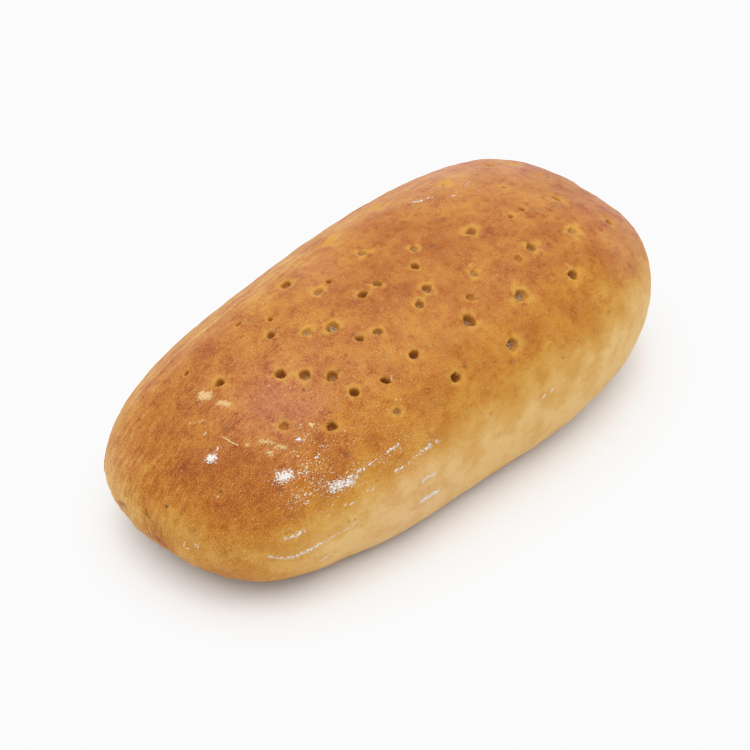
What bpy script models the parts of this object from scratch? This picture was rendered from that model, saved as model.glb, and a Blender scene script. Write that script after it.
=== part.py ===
"""A whole oblong hearth loaf with a docked crust.

The loaf lies on its flat base. X runs along it, from the narrower end at -X to the
fuller end at +X, and Y runs across it. A net of cells is wrapped over the loaf's
formula, and the docking holes and the folds of the tucked end are cut into it.
Lengths are in metres, and a name that ends in _MM is in millimetres.
"""

import math
import random

import bmesh
import bpy
from mathutils import Vector, noise
from mathutils.bvhtree import BVHTree

MM = 0.001

# The body, at mid-length unless said otherwise
LENGTH = 300 * MM
WIDTH = 149.4 * MM
CREST = 92.6 * MM
WIDEST_SHARE = 0.405  # share of the crest's height at which the sides bulge most
BASE_SHARE = 0.64  # share of the plan's size that rests on the baking stone

# How the body changes towards +X: a straight change and a curved one
WIDTH_SLOPE, WIDTH_CURVE = 0.09, 0.064
CREST_SLOPE, CREST_CURVE = 0.12, -0.07
BEND = 5.6 * MM  # how far the ends swing out of line with the middle
BEND_REST = 0.3  # the share of it that keeps the mean line near the axis

# Superellipse exponents: 2 is an ellipse, and more is squarer
TUCKED_END, FULL_END = 3.1, 2.68
CROWN, UNDERSIDE = 2.54, 2.1

# The net of cells: its top is a grid, and its walls run down to the base
CELLS_ALONG, CELLS_ACROSS = 48, 28
WALL_CELLS = 8

# What hand shaping and the oven left: place along, across and up, reach, and how far
# the crust swells out there, or sinks in
SWELLS_MM = (
    (2, 60, 75, 34, 1.2),
    (63, 50, 85, 30, -0.6),
    (125, 7, 78, 28, -0.9),
    (92, -70, 28, 15, 1.3),
    (-85, -66, 19, 14, -2.0),
    (-22, -73, 19, 42, -1.4),
    (-118, -52, 14, 18, 0.9),
    (-145, -30, 24, 12, -1.2),
    (-149, -15, 25, 7, -1.2),
    (-147, 10, 18, 8, 0.9),
    (-148, 29, 29, 9, -1.3),
)
LUMP_SIZE = 46 * MM
LUMP_HEIGHT = 0.8 * MM
FLAT_EDGE = 12 * MM  # below this height the unevenness fades towards the flat base

# The docking holes. Each row is one strike of the docker's pins: its place along the
# loaf, how far it leans back for each millimetre across, where its pins went in, and
# how hard each was pressed.
DOCKING_ROWS_MM = (
    (-116, 0.90, (-26, -42), "ss"),
    (-91, 0.25, (33, 15), "sd"),
    (-79, 0.75, (-5, -14, -24), "dmd"),
    (-79, 0.53, (-37, -55), "ds"),
    (-66, 0.50, (-42,), "m"),
    (-33, 0.91, (35, 24), "ms"),
    (-47, 0.92, (16, 4), "dm"),
    (-43, 0.65, (-3, -21), "dd"),
    (-50, 0.67, (-18,), "d"),
    (-46, 0.50, (-41, -59), "dd"),
    (-25, 0.22, (37, 19), "ms"),
    (-17, 0.56, (1, -23, -44, -62), "mmdm"),
    (-7, 0.70, (20, 1, -18, -35), "smms"),
    (6, 0.10, (44, 23), "sm"),
    (11, 0.56, (-3, -48), "md"),
    (23, 0.25, (6, -26), "ms"),
    (35, -0.05, (48, 27), "ss"),
    (50, 0.00, (15, -4), "sm"),
    (26, 0.85, (-32, -52), "md"),
    (60, 0.13, (10, -30), "sd"),
    (73, 0.00, (-8,), "m"),
    (80, 0.36, (-7, -32), "ss"),
    (99, 0.80, (34, 12), "sm"),
    (106, 0.00, (36, -8), "sm"),
    (118, 0.00, (32, 15, -33), "ssm"),
)
# Depth and width of a hole by how hard its pin was pressed: deep, middling or shallow
PIN_SIZES_MM = {"d": (6.0, 5.8), "m": (4.2, 5.2), "s": (2.4, 4.6)}
PIN_SPREAD = 0.1  # how much holes of one kind differ
PIN_SIDES = 10
PIN_CLEARANCE = 3 * MM  # how far a cutter stands out of the crust
# A hole's outline from its mouth to its tip: share of its depth, share of its width
PIN_OUTLINE = ((0.0, 1.0), (0.2, 0.78), (0.75, 0.64), (1.0, 0.3))
PIN_SEED = 11

# The folds of the tucked end: the plan and section angles at a fold's two ends, in
# degrees, and how far it sags between them
FOLDS = (
    ((147, -9), (172, 4), 3),
    ((156, -13), (176, -3), 3),
    ((178, 9), (190, -22), -5),
    ((184, 4), (203, -20), 4),
)
FOLD_WIDTH = 3 * MM
FOLD_DEPTH = 1 * MM
FOLD_POINTS = 13

CRUST_COLOUR = (0.53, 0.25, 0.075, 1.0)
CRUST_ROUGHNESS = 0.5


def start_clean():
    for item in list(bpy.data.objects):
        bpy.data.objects.remove(item, do_unlink=True)


def power(value, exponent):
    return max(value, 0.0) ** exponent


def smooth_crust(turn, tilt):
    """A point of the even crust. turn is the angle in plan. tilt is the angle in section:
    -90 degrees at the base's edge, 0 at the widest level and 90 at the crest."""
    cosine, sine = math.cos(turn), math.sin(turn)
    squareness = TUCKED_END if cosine < 0 else FULL_END
    reach = (abs(cosine) ** squareness + abs(sine) ** squareness) ** (-1 / squareness)
    rise, run = math.sin(tilt), math.cos(tilt)
    if tilt < 0:
        share = BASE_SHARE + (1 - BASE_SHARE) * power(run, 2 / UNDERSIDE)
    else:
        share = power(run, 2 / CROWN)
    along = share * reach * cosine
    across = share * reach * sine
    half_width = WIDTH / 2 * (1 + WIDTH_SLOPE * along + WIDTH_CURVE * along**2)
    crest = CREST * (1 + CREST_SLOPE * along + CREST_CURVE * along**2)
    widest = WIDEST_SHARE * crest
    if tilt < 0:
        height = widest * (1 - power(-rise, 2 / UNDERSIDE))
    else:
        height = widest + (crest - widest) * power(rise, 2 / CROWN)
    swing = BEND * (along**2 - BEND_REST)
    return Vector((along * LENGTH / 2, half_width * across + swing, height))


def outward(turn, tilt):
    """The direction out of the even crust, from two short steps along it."""
    step = 0.01
    tilt = min(tilt, math.pi / 2 - 2 * step)
    round_it = smooth_crust(turn + step, tilt) - smooth_crust(turn - step, tilt)
    up_it = smooth_crust(turn, tilt + step) - smooth_crust(turn, tilt - step)
    return round_it.cross(up_it).normalized()


def crust(turn, tilt):
    """A point of the crust as it was baked, with its swells, dents and low lumps."""
    point = smooth_crust(turn, tilt)
    push = noise.noise(point / LUMP_SIZE) * LUMP_HEIGHT
    for along, across, up, reach, amount in SWELLS_MM:
        away = (point - Vector((along, across, up)) * MM).length / (reach * MM)
        push += amount * MM * math.exp(-(away**2))
    return point + outward(turn, tilt) * push * min(1.0, point.z / FLAT_EDGE)


def link_mesh(name, shape):
    mesh = bpy.data.meshes.new(name)
    bmesh.ops.recalc_face_normals(shape, faces=shape.faces)
    shape.to_mesh(mesh)
    shape.free()
    item = bpy.data.objects.new(name, mesh)
    bpy.context.scene.collection.objects.link(item)
    return item


def make_body():
    """The loaf without holes: a grid with walls, like a box without its bottom, whose
    every vertex is then laid on the crust. The last ring is closed with the base."""
    net = bmesh.new()
    bmesh.ops.create_grid(net, x_segments=CELLS_ALONG, y_segments=CELLS_ACROSS, size=1)
    for _ in range(WALL_CELLS):
        rim = [edge for edge in net.edges if edge.is_boundary]
        wall = bmesh.ops.extrude_edge_only(net, edges=rim)["geom"]
        lower = [item for item in wall if isinstance(item, bmesh.types.BMVert)]
        bmesh.ops.translate(net, verts=lower, vec=(0, 0, -1 / WALL_CELLS))
    for vertex in net.verts:
        along, across, down = vertex.co
        tilt = down if down < 0 else 1 - max(abs(along), abs(across))
        vertex.co = crust(math.atan2(across, along), tilt * math.pi / 2)
    rim = [edge for edge in net.edges if edge.is_boundary]
    bmesh.ops.contextual_create(net, geom=rim)
    return link_mesh("loaf", net)


def add_pin(shape, point, normal, depth, width, turned):
    """One docker pin as a closed tapering cutter whose mouth lies on the crust."""
    side = normal.orthogonal().normalized()
    other = normal.cross(side)
    rings = []
    for down, share in ((-PIN_CLEARANCE / depth, 1.1), *PIN_OUTLINE):
        ring = []
        for i in range(PIN_SIDES):
            angle = turned + math.tau * i / PIN_SIDES
            arm = side * math.cos(angle) + other * math.sin(angle)
            ring.append(shape.verts.new(point - normal * down * depth + arm * share * width / 2))
        rings.append(ring)
    for above, below in zip(rings, rings[1:]):
        for i in range(PIN_SIDES):
            j = (i + 1) % PIN_SIDES
            shape.faces.new((above[i], above[j], below[j], below[i]))
    shape.faces.new(rings[0])
    shape.faces.new(rings[-1])


def make_pins(loaf):
    """The cutter of every docking hole, in one mesh. Each pin came down from above and
    went in square to the crust."""
    draw = random.Random(PIN_SEED)
    surface = bmesh.new()
    surface.from_mesh(loaf.data)
    tree = BVHTree.FromBMesh(surface)
    surface.free()
    shape = bmesh.new()
    for station, lean, places, presses in DOCKING_ROWS_MM:
        for across, press in zip(places, presses):
            above = Vector((station - lean * across, across, 200)) * MM
            point, normal, _, _ = tree.ray_cast(above, Vector((0, 0, -1)))
            differs = draw.uniform(1 - PIN_SPREAD, 1 + PIN_SPREAD)
            depth, width = (size * differs * MM for size in PIN_SIZES_MM[press])
            add_pin(shape, point, normal, depth, width, draw.uniform(0, math.tau))
    return link_mesh("docker_pins", shape)


def make_fold(number, start, end, sag):
    """A thin bent rod that lies half sunk in the crust and leaves the groove of a fold."""
    line = bpy.data.curves.new(f"fold_{number}", "CURVE")
    line.dimensions = "3D"
    line.bevel_depth = FOLD_WIDTH / 2
    line.bevel_resolution = 2
    line.use_fill_caps = True
    spline = line.splines.new("POLY")
    spline.points.add(FOLD_POINTS - 1)
    for i, spot in enumerate(spline.points):
        share = i / (FOLD_POINTS - 1)
        middle = math.sin(math.pi * share)
        turn = math.radians(start[0] + (end[0] - start[0]) * share)
        tilt = math.radians(start[1] + (end[1] - start[1]) * share - sag * middle)
        lift = FOLD_WIDTH / 2 - FOLD_DEPTH * middle
        spot.co = (*(crust(turn, tilt) + outward(turn, tilt) * lift), 1.0)
    rod = bpy.data.objects.new(f"fold_{number}", line)
    bpy.context.scene.collection.objects.link(rod)
    graph = bpy.context.evaluated_depsgraph_get()
    shape = bmesh.new()
    shape.from_mesh(rod.evaluated_get(graph).to_mesh())
    bpy.data.objects.remove(rod, do_unlink=True)
    bmesh.ops.remove_doubles(shape, verts=shape.verts, dist=0.01 * MM)
    return link_mesh(f"fold_{number}", shape)


def cut(body, cutter):
    """Takes the cutter out of the body. The cutter stays as a hidden guide."""
    boolean = body.modifiers.new(cutter.name, "BOOLEAN")
    boolean.operation = "DIFFERENCE"
    boolean.solver = "EXACT"
    boolean.object = cutter
    cutter.hide_render = True
    cutter.display_type = "WIRE"


def crust_material():
    material = bpy.data.materials.new("crust")
    material.use_nodes = True
    shader = material.node_tree.nodes["Principled BSDF"]
    shader.inputs["Base Color"].default_value = CRUST_COLOUR
    shader.inputs["Roughness"].default_value = CRUST_ROUGHNESS
    return material


def centre_on_origin(body, others):
    """Moves everything alike, so that the body's box stands centred on the origin."""
    box = [Vector(corner) for corner in body.bound_box]
    middle = (box[0] + box[6]) / 2
    for item in (body, *others):
        for vertex in item.data.vertices:
            vertex.co -= Vector((middle.x, middle.y, 0))


def main():
    start_clean()
    loaf = make_body()
    loaf.data.materials.append(crust_material())
    cutters = [make_pins(loaf)]
    for number, (start, end, sag) in enumerate(FOLDS, 1):
        cutters.append(make_fold(number, start, end, sag))
    centre_on_origin(loaf, cutters)
    for cutter in cutters:
        cut(loaf, cutter)
    loaf.data.shade_smooth()
    loaf.data.set_sharp_from_angle(angle=math.radians(40))


main()
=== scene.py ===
"""An oblong hearth loaf: its crust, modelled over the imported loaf.

The loaf lies on its base. X runs along it, with the tucked end at -X, and Y runs across
it, with the photographed side at -Y. Lengths are in metres, and a name that ends in _MM
is in millimetres.
"""

import math
import random

import bpy
import numpy as np
from mathutils import Matrix, Vector, noise
from mathutils.bvhtree import BVHTree


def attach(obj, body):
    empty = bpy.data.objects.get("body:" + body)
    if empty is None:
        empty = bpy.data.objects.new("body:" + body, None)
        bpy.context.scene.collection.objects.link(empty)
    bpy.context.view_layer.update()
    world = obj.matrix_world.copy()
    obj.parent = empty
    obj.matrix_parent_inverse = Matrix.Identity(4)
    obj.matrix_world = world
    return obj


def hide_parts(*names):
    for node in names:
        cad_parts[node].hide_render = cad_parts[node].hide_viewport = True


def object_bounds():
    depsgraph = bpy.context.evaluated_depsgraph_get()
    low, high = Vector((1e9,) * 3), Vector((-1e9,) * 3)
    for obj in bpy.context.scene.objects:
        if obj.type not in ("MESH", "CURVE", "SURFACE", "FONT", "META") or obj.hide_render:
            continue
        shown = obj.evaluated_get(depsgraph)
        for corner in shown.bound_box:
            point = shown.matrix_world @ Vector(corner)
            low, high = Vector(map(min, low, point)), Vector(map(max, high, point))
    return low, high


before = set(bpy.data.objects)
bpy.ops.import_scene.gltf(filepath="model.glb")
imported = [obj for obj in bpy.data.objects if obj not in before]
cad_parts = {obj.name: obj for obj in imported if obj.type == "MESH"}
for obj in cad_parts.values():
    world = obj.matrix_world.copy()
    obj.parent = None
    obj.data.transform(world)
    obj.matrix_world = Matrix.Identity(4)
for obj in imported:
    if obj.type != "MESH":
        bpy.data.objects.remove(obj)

MM = 0.001
CLEAR = 200 * MM  # well outside the loaf
CAD_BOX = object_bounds()

# The camera, at the photograph's angle
CAMERA_AZIMUTH, CAMERA_ELEVATION = -44.45, 42
CAMERA_TARGET_MM = (-8.8, 2.6, 35)
CAMERA_DISTANCE = 1.1
CAMERA_LENS = 110.4
# The shoulder of the tones: how bright each brightness is shown
WHITES = ((0.75, 0.75), (1, 0.92), (1.5, 0.95))
# The studio: a room of even light with one large lamp overhead, and a pale floor
ROOM_LIGHT = 0.64
LAMP_PLACE, LAMP_SIZE, LAMP_WATTS = (0, 0.1, 1.6), 3, 49
FLOOR_SIZE, FLOOR_SHADE = 8, 0.88

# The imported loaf's own holes: how far from their middles the skin is sound, half their
# width, their depth and how deep their rims reach
SOUND_SKIN = 4.6 * MM
PACKED_HALF, PACKED_DEPTH, PACKED_RIM = 3.6 * MM, 8 * MM, 1.2 * MM

# The skin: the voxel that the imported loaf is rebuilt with, and how far it is evened out
SKIN_VOXEL = 1.6 * MM
SKIN_EVENING = 30
SKIN_FILL = 0.45 * MM  # what the evening took off
FINE_REACH, FINEST_REACH = 1.5 * MM, 0.5 * MM  # how far round a detail its faces are finer
FLAT_EDGE = 9 * MM  # below this height the relief fades towards the flat base
RELIEF_LEVEL = 0.55  # just above the middle, so that the relief goes inwards rather than out
# The relief of the skin: the height and the size of its lumps
DENTS = (0.9 * MM, 17 * MM)
PEBBLING = (0.42 * MM, 4.5 * MM)
PEBBLING_ADDED = 0.3 * MM  # at the full end
TUCK = (1.6 * MM, 6 * MM)  # low on the tucked end
TORN_CRUMB = (1 * MM, 1.1 * MM)  # at the bottoms of the holes
TUCK_HEIGHT = (34 * MM, 46 * MM)  # where it fades, going up
TUCK_LENGTH = (-142 * MM, -120 * MM)  # and along the loaf
# Where along the loaf the tucked end passes into the rest, and the rest into the full end
TUCKED_END = (-138 * MM, -98 * MM)
FULL_END = (10 * MM, 90 * MM)

# The docking holes. Each row is one strike of the docker's pins: its place along the
# loaf, how far it leans back for each millimetre across, where its pins went in, and
# what each pin left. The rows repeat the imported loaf's own, whose box was then centred.
CENTRED_MM = (0.1, 1.1)
DOCKING_ROWS_MM = (
    (-116, 0.90, (-26, -42), "bo"),
    (-91, 0.25, (33, 15), "to"),
    (-79, 0.75, (-5, -14, -24), "drr"),
    (-79, 0.53, (-37, -55), "ds"),
    (-66, 0.50, (-42,), "l"),
    (-33, 0.91, (35, 24), "tt"),
    (-47, 0.92, (16, 4), "op"),
    (-43, 0.65, (-3, -21), "gm"),
    (-50, 0.67, (-18,), "o"),
    (-46, 0.50, (-41, -59), "dd"),
    (-25, 0.22, (37, 19), "rp"),
    (-17, 0.56, (1, -23, -44, -62), "omcg"),
    (-7, 0.70, (20, 1, -18, -35), "tmmb"),
    (6, 0.10, (44, 23), "ap"),
    (11, 0.56, (-3, -48), "og"),
    (23, 0.25, (6, -26), "pp"),
    (35, -0.05, (48, 27), "af"),
    (50, 0.00, (15, -4), "fm"),
    (26, 0.85, (-32, -52), "bc"),
    (60, 0.13, (10, -30), "fm"),
    (73, 0.00, (-8,), "t"),
    (80, 0.36, (-7, -32), "tp"),
    (99, 0.80, (34, 12), "at"),
    (106, 0.00, (36, -8), "bl"),
    (118, 0.00, (32, 15, -33), "afb"),
)
# What a pin left: depth and width in millimetres, how narrow its mouth is against its
# width, how much torn crumb shows at its bottom, how brown its walls are and how strong
# its amber ring is
HOLES = {
    "d": (5.0, 5.2, 0.95, 0.5, 0.9, 0.75),  # deep and dark
    "c": (3.8, 6.0, 0.95, 0.85, 0.9, 0.75),  # deep, with torn crumb
    "o": (3.6, 5.0, 0.85, 0.25, 1.0, 0.6),  # browned inside
    "m": (2.6, 5.4, 0.85, 0.8, 0.75, 0.8),  # middling
    "r": (3.0, 6.1, 0.92, 0.5, 1.0, 0.7),  # rough inside
    "g": (2.4, 6.6, 0.98, 1.0, 0.5, 0.9),  # wide, with torn grey crumb
    "p": (1.3, 5.2, 0.85, 0.65, 0.3, 1.0),  # shallow and pale
    "s": (1.0, 4.6, 0.90, 0.5, 0.3, 0.7),  # faint
    "b": (1.4, 5.0, 0.90, 0.1, 0.6, 0.5),  # shallow and brown
    "l": (4.5, 5.4, 0.45, 0.3, 0.9, 0.6),  # a slit
    "t": (2.6, 3.2, 0.80, 0.2, 0.8, 0.6),  # tiny
    "a": (0.5, 5.6, 1.00, 0.0, 0.0, 0.9),  # only an amber dent
    "f": (0.4, 5.2, 1.00, 0.0, 0.0, 0.35),  # hardly a dent
}
HOLE_SEED = 5
HOLE_UNEVEN = 0.3  # how far a mouth departs from round
MOUTH_RING = 3 * MM  # round a mouth, where its place and axis are read from the skin
HOLE_SKEW = 0.38  # how far a bottom lies off the mouth's middle, in mouth radii
SKEW_WAY = (-0.71, 0.7, 0)
SKEW_SPAN = (-70 * MM, 0)  # along the loaf, where that begins and is full
HALO_REACH = 2.1  # the amber ring and the dip round a hole, in mouth radii
HALO_DIP = 0.65 * MM
HALO_UNEVEN, HALO_FRAY = 1, 3 * MM  # how far its edge strays, and over what length
HALO_SPREAD = 0.35  # how much wider the rings are towards the full end
HALO_SPREAD_SPAN = (20 * MM, 100 * MM)  # along the loaf, where that begins and is full

# Flour that rubbed off the proofing basket: half the width of a smear, how thickly it
# lies and its points
FLOUR_MM = (
    (2.7, 1, (-108.8, -40.8, 65.2), (-106.2, -42.4, 66)),
    (1.6, 0.45, (-104.5, -43, 66.5), (-99.5, -47, 66)),
    (2.4, 0.95, (-93.5, -57, 60.2), (-86, -60, 60.4)),
    (1.4, 0.7, (-86, -58.6, 62), (-82, -60.3, 61.8)),
    (3.2, 0.3, (-109, -50, 59.5), (-96, -54, 61.5)),
    (1.8, 1.25, (-122.8, -9.4, 64.7), (-121.8, -10.2, 65.1)),
    (0.8, 0.5, (-119.8, -9.2, 66.2), (-117.3, -8.8, 67.5)),
    (0.8, 0.75, (-112.6, -48.7, 58.3), (-112.4, -50.5, 56.8)),
    (0.8, 0.9, (-108.6, -52.6, 57), (-104.4, -54.5, 57.4)),
    (0.9, 0.6, (-107.5, -50.6, 60), (-104.5, -52, 60.2)),
    (0.7, 0.65, (-99.8, -55.5, 58.8), (-94.5, -57.5, 59.3)),
    (0.6, 0.7, (-93.1, -45.5, 69.5), (-90.2, -45.8, 70.4)),
    (0.9, 0.85, (-93.6, -34.2, 73.7), (-92.2, -34.8, 73.8)),
    (0.7, 0.7, (-92.5, -36.6, 73.3), (-91.5, -36.8, 73.4)),
    (0.5, 0.6, (-88.6, -31.3, 75.9), (-87, -30, 76.7)),
    (0.6, 0.65, (-85.5, -45.8, 71.9), (-85.1, -45.8, 72)),
    (0.6, 0.65, (-87.8, -43.6, 72.2), (-87.4, -43.6, 72.3)),
    (0.85, 0.9, (-119, -53.9, 44.4), (-115, -55.8, 44.6), (-111.4, -57.2, 46.2)),
    (0.85, 0.8, (-126.3, -50.9, 35.8), (-120.5, -54.5, 33.3), (-116, -57, 33.2)),
    (1, 0.8, (-116, -57, 33.2), (-111.7, -58.8, 34.4), (-105.1, -61.3, 36.3)),
    (0.6, 0.7, (-103.4, -61.8, 36.8), (-98, -63.6, 38.2), (-91.9, -65.1, 39.2)),
    (0.8, 0.6, (-91.9, -65.1, 39.2), (-87.3, -66.2, 40.7)),
    (0.9, 0.75, (-81.3, -59.5, 62.7), (-77.8, -60.1, 63.2)),
    (0.7, 0.55, (-75, -60.6, 63.6), (-70.5, -61, 64.4)),
    (0.5, 0.55, (-67.9, -61.3, 65), (-63.5, -62, 65.6)),
    (0.55, 0.9, (-64, -61.9, 65.5), (-61.5, -62.2, 65.9), (-57.5, -62.6, 66.3)),
    (1.7, 0.34, (-67, -62.5, 63.2), (-58, -64, 64)),
    (0.7, 0.7, (-63.8, -67, 57.1), (-59.4, -67.7, 57.2)),
    (0.8, 0.5, (-56.7, -68, 57.4), (-52.9, -68.2, 58.2), (-49, -68.3, 58.8)),
    (1.3, 0.75, (-48, -68.3, 59.2), (-44, -68.6, 60)),
    (0.7, 0.7, (-43.9, -67.5, 62.1), (-43.2, -67.5, 62.1)),
    (0.8, 0.9, (-39.9, -69.1, 59.8), (-39, -69.1, 60)),
    (0.6, 0.8, (-79.7, -64.9, 54.3), (-76.2, -65.7, 54.2)),
    (0.7, 0.75, (-91.1, -62.9, 51.7), (-86.9, -64.2, 51.4)),
    (1.1, 0.8, (-50.7, -71.7, 44.7), (-44.2, -72.3, 45.4)),
    (0.8, 0.6, (-32.6, -73.5, 33.2), (-26.3, -73.9, 33.8)),
    (1.3, 0.95, (-52, -71.8, 33.2), (-47, -72.3, 33), (-41.7, -72.8, 32.9)),
    (0.9, 0.8, (-30, -72.4, 23.5), (-27.4, -72.2, 22.9)),
    (0.9, 0.75, (-103.5, -60.6, 24.2), (-100.2, -62, 26)),
    (0.8, 0.8, (24, -75.5, 50.2), (25.3, -75.5, 50.9)),
    (0.8, 0.8, (30, -75.5, 50.6), (31.4, -75.5, 51)),
    (0.6, 0.6, (-146.8, -23.8, 37.2), (-145.8, -25.2, 37.5)),
    (0.6, 0.7, (-132.2, -24.2, 57.5), (-131.8, -23.6, 57.8)),
    (1.3, 0.65, (48, 34, 91.3), (52, 31.5, 92)),
    (1, 0.55, (53, 31.5, 92), (57, 30, 92.3)),
    (1, 0.5, (64, 23.5, 92.3), (68, 24.5, 91.5)),
    (1.3, 0.5, (76, 26, 90.8), (80, 28, 89.5)),
    (1, 0.6, (84.5, 27, 89), (86, 27.5, 88.8)),
    # guessed, on the sides that the photo doesn't show
    (0.9, 0.7, (-72.1, 69.3, 50), (-64.4, 69.5, 52.1), (-56.1, 70.1, 52.6)),
    (0.9, 0.75, (-51.7, 71.9, 43.9), (-45.2, 72.1, 45)),
    (1.1, 0.8, (-23.6, 73.2, 36.1), (-15.7, 73.5, 34.9), (-7.8, 73.8, 36.1)),
    (0.8, 0.65, (12.1, 73.4, 54.2), (24.1, 73.6, 56)),
    (1, 0.75, (39.6, 75.4, 31.1), (46, 75.6, 31.9), (53.2, 75.7, 33)),
    (0.8, 0.7, (67.7, 75.5, 45.8), (74.8, 75.1, 46.4)),
    (0.7, 0.65, (86, 71.9, 57.9), (90.7, 70.9, 59)),
    (0.8, 0.7, (-96.3, 67.3, 40.2), (-88.1, 68.6, 41.8)),
    (0.9, 0.7, (146.9, -24.1, 35.9), (148.8, -15.8, 37.9)),
    (0.8, 0.65, (149.9, 14, 43.8), (149.3, 22.1, 43.2)),
)
FLOUR_THICKNESS = 0.12 * MM
# Thin flour dust: place, reach and how thickly it lies
DUST_MM = (
    ((-84, -50, 67), 20, 0.06),
    ((-62, -62, 63), 14, 0.07),
    ((-104, -46, 64), 14, 0.09),
    ((-95, -58, 54), 18, 0.04),
    ((-50, -69, 55), 14, 0.04),
    ((-88, -38, 73), 10, 0.07),
    ((52, 31, 92), 12, 0.07),
    ((74, 26, 91), 12, 0.06),
)

# Small dark specks, pinholes and burnt flecks: place, radius and how dark
SPECKS_MM = (
    ((-74.5, -18.8, 81.4), 0.9, 0.75),
    ((-129.9, -23.5, 59.1), 0.8, 0.8),
    ((-145.4, -4, 46.9), 0.8, 1.1),
    ((-145.2, 36.6, 38.6), 0.75, 0.9),
    ((-34.9, 3.7, 89.1), 0.8, 0.5),
    ((-9.8, -56.6, 79.2), 1.4, 0.5),
    ((77.2, -67.7, 66.2), 1.1, 0.6),
    ((-3.8, -74.9, 44.6), 1.1, 0.45),
    ((-7.5, -72.2, 58.4), 0.9, 0.45),
    ((-12.4, -71, 60.9), 0.9, 0.35),
    ((40.5, -72.3, 63.2), 0.9, 0.4),
    ((29, -51.6, 85), 1.4, 0.3),
    ((35.6, -35.4, 91.1), 1.6, 0.3),
    ((13, -64.9, 73.7), 1.2, 0.3),
    ((-37.3, -32.2, 86.4), 0.8, 0.4),
    ((-78.1, -22.4, 80.2), 1, 0.35),
    ((-94.1, -16.1, 76.1), 1, 0.3),
    ((-96.2, -37.6, 71.7), 1.2, 0.35),
    ((-103.3, -25.8, 71.9), 1.1, 0.5),
    ((-102.3, -28.8, 71.8), 0.9, 0.3),
    ((-120.3, -24.7, 64.6), 0.8, 0.4),
    ((-114.3, -22.2, 67.9), 0.9, 0.4),
    ((-112.4, -18.3, 69.1), 0.8, 0.3),
    ((-124.5, -11.4, 63.6), 1.3, 0.35),
    ((-119.8, -6.4, 66.3), 0.9, 0.3),
    ((-116.6, -1.1, 67.8), 1, 0.4),
    ((-109.3, -5, 70.9), 2, 0.35),
    ((-104.6, 24.6, 72.1), 1.3, 0.4),
    ((-131.5, -1.3, 59.7), 1.8, 0.4),
    ((-131, -0.7, 60), 4.5, 0.2),
    ((-126.2, -13.5, 62.6), 1.1, 0.3),
    ((-83.9, 33.5, 77.3), 1.5, 0.35),
    ((-86.4, 39.2, 75.2), 1.4, 0.3),
    ((-82, 22.5, 79.4), 0.7, 0.4),
    ((-72.2, 9, 82.4), 0.7, 0.4),
    ((-80.8, -52.2, 69.5), 1.7, 0.5),
    ((-112, -43.4, 62.6), 1.3, 0.5),
    ((-116.7, -54.3, 47), 1, 0.4),
    ((-108, -53.6, 56.2), 1.2, 0.4),
    ((-94.7, -58.5, 57.8), 1.2, 0.35),
    ((-89.2, -51.3, 67.4), 1.2, 0.3),
    ((-91.3, -65.2, 43.2), 0.6, 0.7),
    ((-88, -65.8, 42.6), 0.55, 0.7),
    ((-47.8, -72.3, 38.9), 0.7, 0.55),
    ((-107.6, -60.1, 28.6), 1.2, 0.25),
    ((-144.9, -21.8, 44.3), 1.4, 0.45),
    ((-140.3, -37, 37.8), 1.8, 0.25),
    ((-134.6, -26.4, 54.8), 1.2, 0.3),
    ((-149.3, 4.7, 37.6), 1.3, 0.5),
    ((-149.6, -1.5, 32.8), 4, 0.14),
    ((87, 18.7, 90.2), 1.5, 0.3),
    ((124.3, -13.3, 78.5), 1.8, 0.35),
    ((36.3, 6.7, 94.3), 3.2, 0.14),
    ((-86.7, -22.2, 77.9), 3.4, 0.12),
    ((-34, 12.3, 89.1), 1.6, 0.2),
)
SPECK_PIT = 0.35 * MM  # how deep the darkest lie

# Where the oven browned the crust more or less than its height and slope account for:
# place, reach and amount
BROWNING_MM = (
    ((-138, 28, 53), 18, -0.22),
    ((93, 26, 88), 26, -0.22),
    ((-5, 6, 92), 18, 0.2),
    ((-36, -40, 85), 18, -0.16),
    ((-150, -1, 27), 9, 0.55),
    ((-145, -10, 47), 9, -0.25),
    ((-128, -3, 61), 10, 0.15),
    ((-112, -55, 18), 38, 0.1),
    ((17, -57, 81), 26, -0.1),
    ((-113, -26, 68), 13, 0.15),
    ((102, -65, 55), 18, -0.08),
    ((-84, -47, 72), 10, 0.26),
    ((27, 5, 94), 9, 0.24),
    ((-91, 36, 75), 13, 0.17),
    ((-110, -54, 54), 9, 0.15),
    ((-66, -17, 84), 9, 0.18),
    ((65, -33, 91), 26, 0.08),
    ((-10, -26, 90), 9, -0.15),
    ((-48, 38, 83), 9, -0.2),
    ((-33, -18, 89), 9, 0.14),
    ((29, -28, 92), 9, -0.15),
    ((97, -51, 78), 9, 0.14),
    ((58, -6, 94), 13, 0.1),
    ((-14, 33, 87), 15, -0.18),
    ((-46, 36, 85), 12, -0.06),
    ((14, 36, 88), 12, -0.08),
    ((76, -60, 72), 15, -0.17),
    ((108, -46, 74), 15, -0.2),
    ((-133, -33, 44), 12, -0.12),
    ((-131, 36, 54), 11, -0.13),
    ((-76, -60, 62), 9, -0.14),
    ((-14, -52, 81), 12, -0.08),
    ((15, -76, 45), 50, 0.1),
    ((104, -4, 88), 14, -0.12),
    ((-14, 48, 79), 13, -0.12),
    ((-139, 8, 53), 10, -0.2),
    ((-95, -8, 76), 10, -0.1),
    ((-138, -34, 18), 12, 0.36),
    ((-114, -52, 13), 10, 0.22),
    ((-89, -59, 12), 10, 0.12),
    ((55, 3, 94), 9, 0.14),
    ((-57, 52, 75), 11, -0.1),
    ((2, -61, 77), 8, -0.12),
    ((-149, -7, 40), 6, -0.12),
    ((12, 9, 93), 8, 0.12),
    ((47, -39, 90), 9, 0.12),
    ((-77, -37, 78), 8, -0.1),
)
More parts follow.
